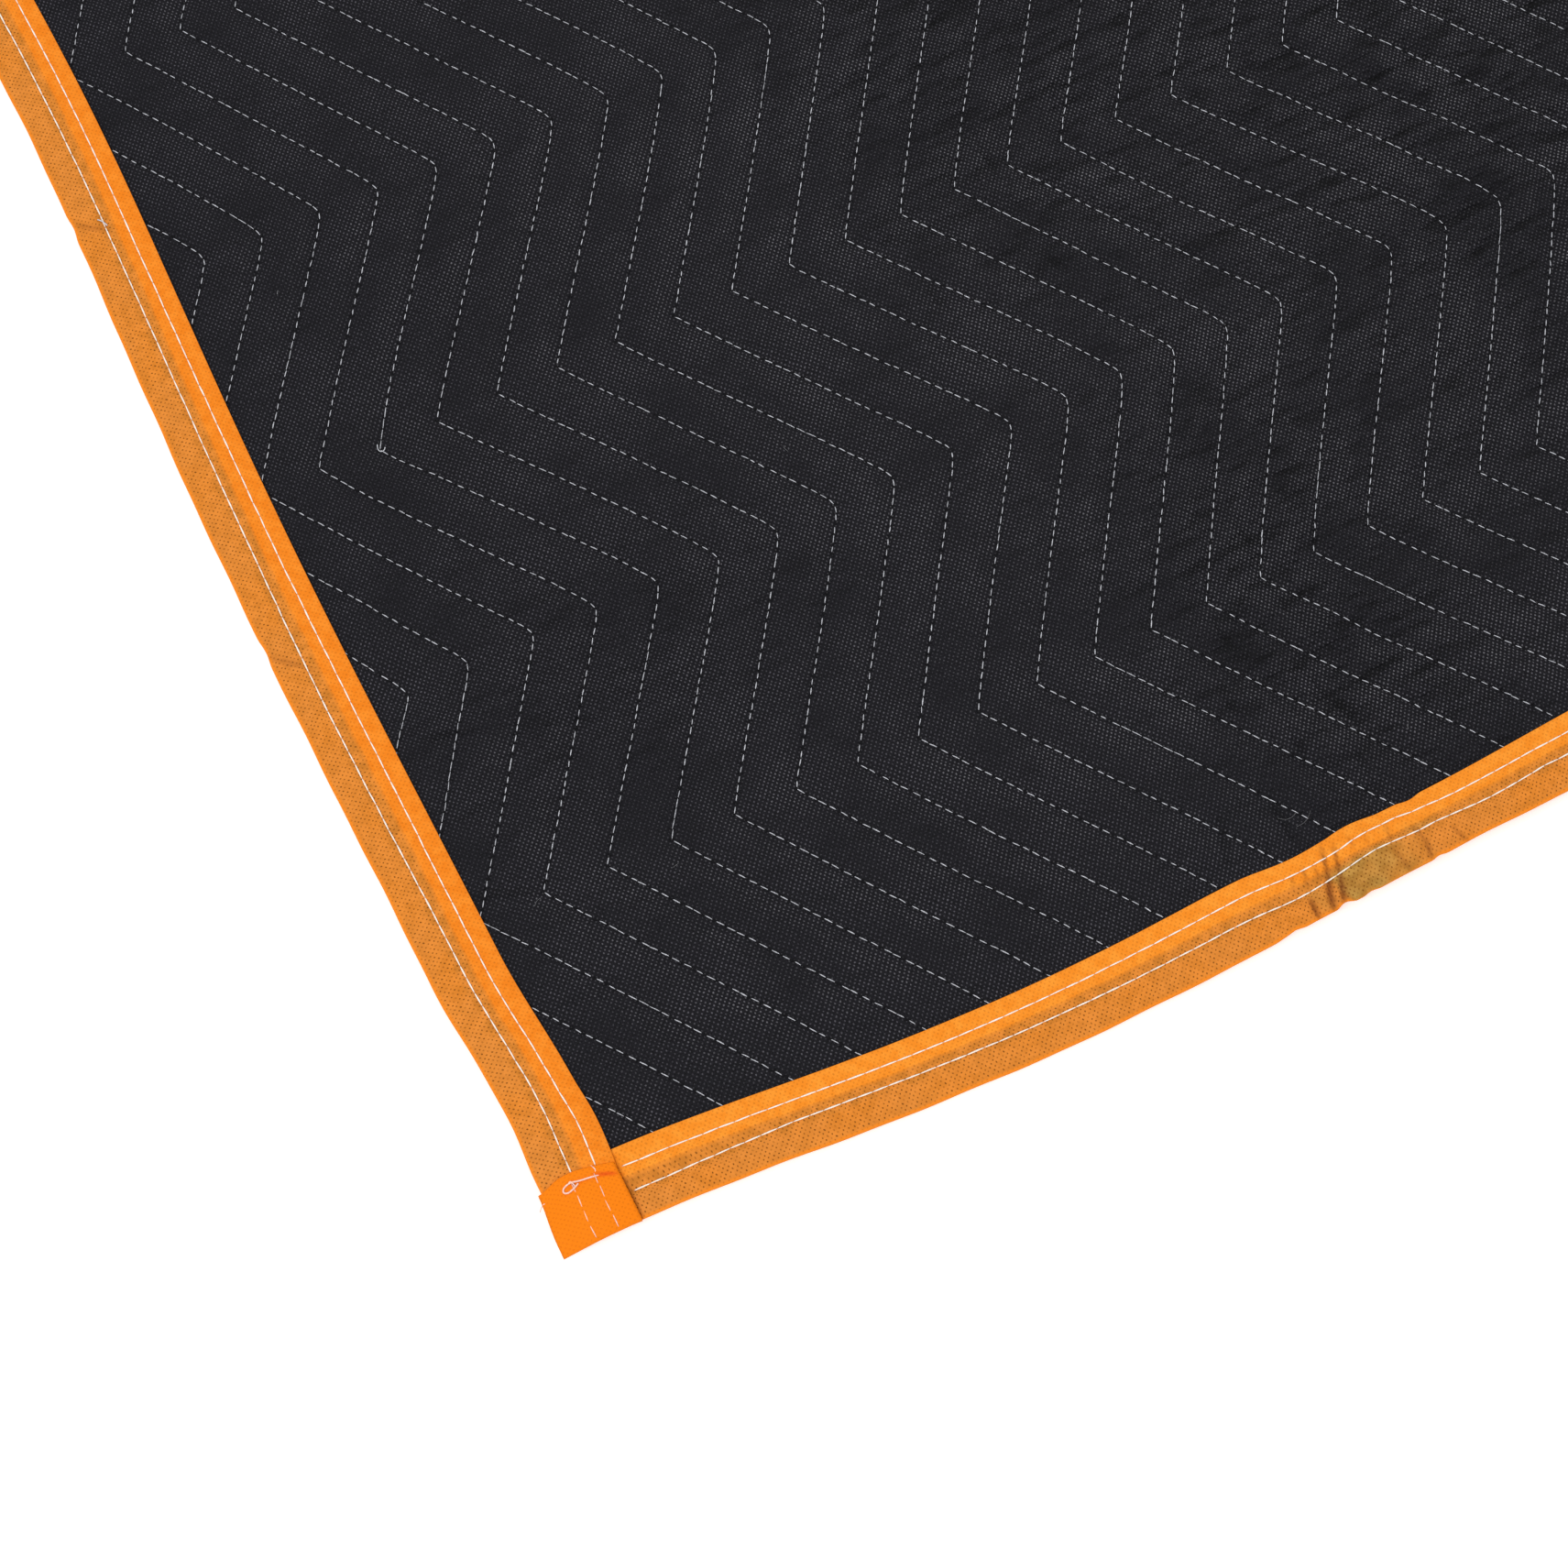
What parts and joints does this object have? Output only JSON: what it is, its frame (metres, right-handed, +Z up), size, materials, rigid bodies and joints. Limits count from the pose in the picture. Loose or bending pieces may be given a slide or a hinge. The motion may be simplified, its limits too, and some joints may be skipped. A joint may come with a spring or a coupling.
{
  "type": "moving pad",
  "caption": "Quilted moving pad lying flat: black non-woven cloth over thin batting, sewn through in zigzag rows, with an orange tape folded round and sewn to its edges.",
  "frame": {"origin": "middle of the pad's outline, on the surface that it lies on", "axes": "+Y along the rows of stitches and the longer sides, +X along the shorter sides, +Z up out of the face"},
  "size_m": [1.8382, 2.041, 0.0174],
  "materials": {
    "black_cloth": "black spun-bonded non-woven cloth with fine welded dots, matt, quilted through with white thread",
    "orange_tape": "orange spun-bonded non-woven tape, thin enough for the pad to show through where it is single, sewn with two rows of white thread",
    "white_thread": "white polyester sewing thread, slightly glossy"
  },
  "bodies": {
    "root": {"quilted_pad": "black_cloth", "binding_front": "orange_tape", "binding_back": "orange_tape", "binding_left": "orange_tape", "binding_right": "orange_tape"}
  },
  "joints": []
}
